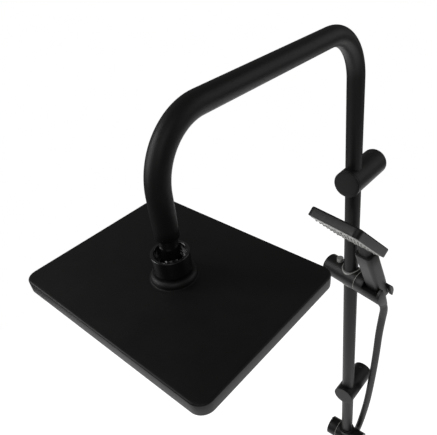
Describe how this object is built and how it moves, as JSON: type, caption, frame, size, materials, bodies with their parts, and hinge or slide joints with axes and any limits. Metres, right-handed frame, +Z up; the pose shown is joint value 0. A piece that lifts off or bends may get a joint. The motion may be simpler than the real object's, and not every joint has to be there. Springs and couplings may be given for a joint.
{
  "type": "shower column",
  "caption": "Wall-mounted matte black shower column: bent overhead arm, rectangular rain head on a ball joint, rail with sliding holder, hand shower on a hose, and a diverter knob.",
  "frame": {"origin": "centre of the upper bracket's wall face, on the wall", "axes": "+Z up along the rail, +Y into the wall, +X to the right of someone facing the wall"},
  "size_m": [0.2301, 0.4711, 1.1842],
  "materials": {
    "matte_black": "matte powder coat",
    "satin_black_plastic": "satin",
    "face_grey": "matte",
    "face_black": "matte",
    "button_grey": "satin",
    "clear_ring": "translucent",
    "rubber_black": "matte",
    "zinc_steel": "plated",
    "brass": "machined"
  },
  "bodies": {
    "column": {"lower_rail": "matte_black", "pipe_coupler": "brass", "coupler_o_rings": "rubber_black", "upper_wall_stub": "zinc_steel", "upper_bracket_body": "matte_black", "upper_bracket_cap": "matte_black", "lower_wall_stub": "zinc_steel", "lower_bracket_body": "matte_black", "lower_bracket_cap": "matte_black", "bracket_set_screws": "zinc_steel", "hose": "rubber_black", "hose_ferrule": "zinc_steel", "hose_hex_nut": "matte_black", "hose_washer": "rubber_black", "diverter_body": "matte_black", "collar_o_ring": "rubber_black", "diverter_seam_ring": "clear_ring", "hose_outlet": "brass", "inlet_union": "brass"},
    "arm": {"upper_pipe": "matte_black", "ball_nipple": "matte_black", "nipple_o_ring": "rubber_black"},
    "seat": {"ball_seat_ring": "clear_ring"},
    "seal": {"ball_seal": "rubber_black"},
    "rain_head": {"union_nut": "matte_black", "filter_washer": "rubber_black", "head_shell": "satin_black_plastic", "nozzle_mat": "face_black", "head_face_plate": "face_black", "flow_disc": "clear_ring"},
    "carriage": {"rail_bush": "clear_ring"},
    "slider": {"slider_body": "satin_black_plastic", "slider_end_cap": "matte_black", "button_spring": "zinc_steel", "slider_seam_ring": "clear_ring", "holder_pivot": "zinc_steel"},
    "button": {"release_button": "button_grey"},
    "holder": {"holder_cradle": "satin_black_plastic"},
    "hand_shower": {"hand_shell": "satin_black_plastic", "hand_face_plate": "face_grey", "hand_nozzles": "face_grey", "hand_neck": "satin_black_plastic", "hand_handle": "satin_black_plastic", "hose_cone_nut": "satin_black_plastic"},
    "knob": {"diverter_knob": "matte_black", "knob_lever": "matte_black", "diverter_cartridge": "clear_ring"}
  },
  "joints": [
    {"name": "arm_swivel", "type": "hinge", "parent": "column", "child": "arm", "pos_m": [0, -0.06, 0], "axis": [0, 0, -1], "range_deg": [-45, 45]},
    {"name": "head_tilt_side", "type": "hinge", "parent": "arm", "child": "seat", "pos_m": [0, -0.3846, 0.07135], "axis": [0, 1, 0], "range_deg": [-16, 8]},
    {"name": "head_tilt_front", "type": "hinge", "parent": "seat", "child": "seal", "pos_m": [0, -0.3846, 0.07135], "axis": [1, 0, 0], "range_deg": [-12, 12]},
    {"name": "head_spin", "type": "hinge", "parent": "seal", "child": "rain_head", "pos_m": [0, -0.3846, 0.07135], "axis": [0.0698, 0, 0.9976], "range_deg": [-90, 90]},
    {"name": "slider_slide", "type": "slide", "parent": "column", "child": "carriage", "axis": [0, 0, 1], "range_m": [-0.25, 0.115], "deforming": ["hose"]},
    {"name": "slider_turn", "type": "hinge", "parent": "carriage", "child": "slider", "pos_m": [0, -0.06, -0.172], "axis": [0, 0, 1], "range_deg": [-30, 40], "deforming": ["hose"]},
    {"name": "button_press", "type": "slide", "parent": "slider", "child": "button", "axis": [0, 0, -1], "range_m": [0, 0.003], "stiffness_N_per_m": 600, "springref_m": -0.002, "deforming": ["button_spring"]},
    {"name": "holder_tilt", "type": "hinge", "parent": "slider", "child": "holder", "pos_m": [0.02338, -0.0654, -0.172], "axis": [0.9744, -0.225, 0], "range_deg": [-4, 30], "deforming": ["hose"]},
    {"name": "hand_shower_lift", "type": "slide", "parent": "holder", "child": "hand_shower", "axis": [-0.0769, -0.3333, 0.9397], "range_m": [0, 0.06], "deforming": ["hose"]},
    {"name": "diverter_turn", "type": "hinge", "parent": "column", "child": "knob", "pos_m": [-0.02, -0.06, -0.617], "axis": [-1, 0, 0], "range_deg": [0, 90]}
  ]
}
